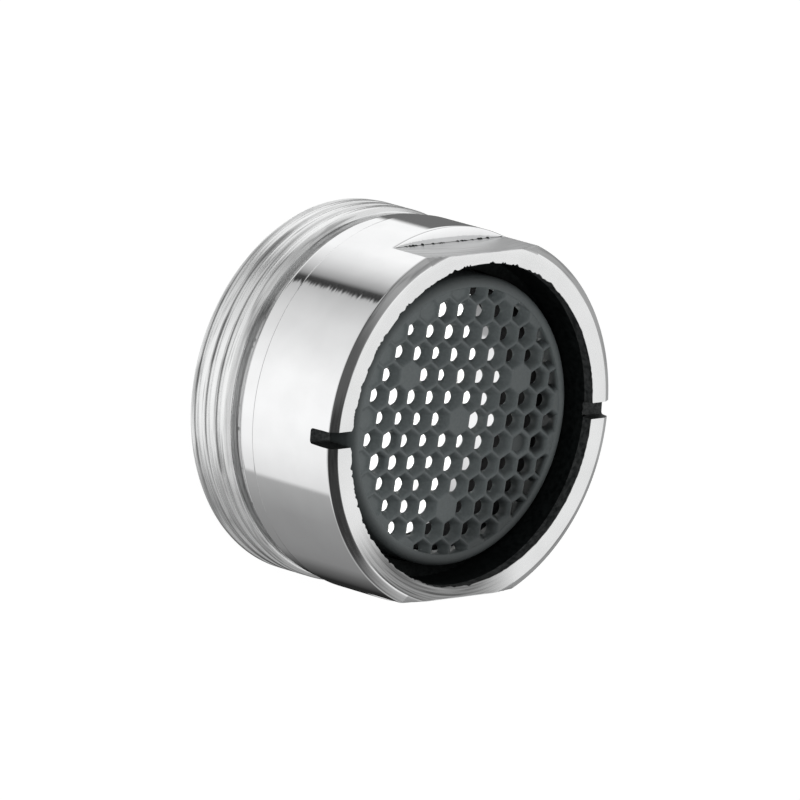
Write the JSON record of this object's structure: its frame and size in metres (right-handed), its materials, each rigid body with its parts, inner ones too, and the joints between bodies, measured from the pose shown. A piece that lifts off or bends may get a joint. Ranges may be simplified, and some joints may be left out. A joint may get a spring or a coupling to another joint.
{
  "type": "tap flow regulator",
  "caption": "Chrome tap outlet piece: a round housing with a male spout thread, spanner flats and rim slots holds a grey honeycomb insert that straightens the flow, and a sealing washer.",
  "frame": {"origin": "centre of the washer's inlet face, on the axis of the bore", "axes": "+Z along the flow, from the threaded inlet to the outlet face; X through the rim slots; Y through the spanner flats"},
  "size_m": [0.024, 0.024, 0.014],
  "materials": {
    "chrome_plated_brass": "bright chrome plate over turned brass, with fine tool marks",
    "grey_plastic": "matt moulded plastic, dark grey",
    "white_silicone": "smooth matt silicone rubber, milky white"
  },
  "bodies": {
    "root": {"housing": "chrome_plated_brass", "honeycomb_insert": "grey_plastic", "sealing_washer": "white_silicone"}
  },
  "joints": []
}
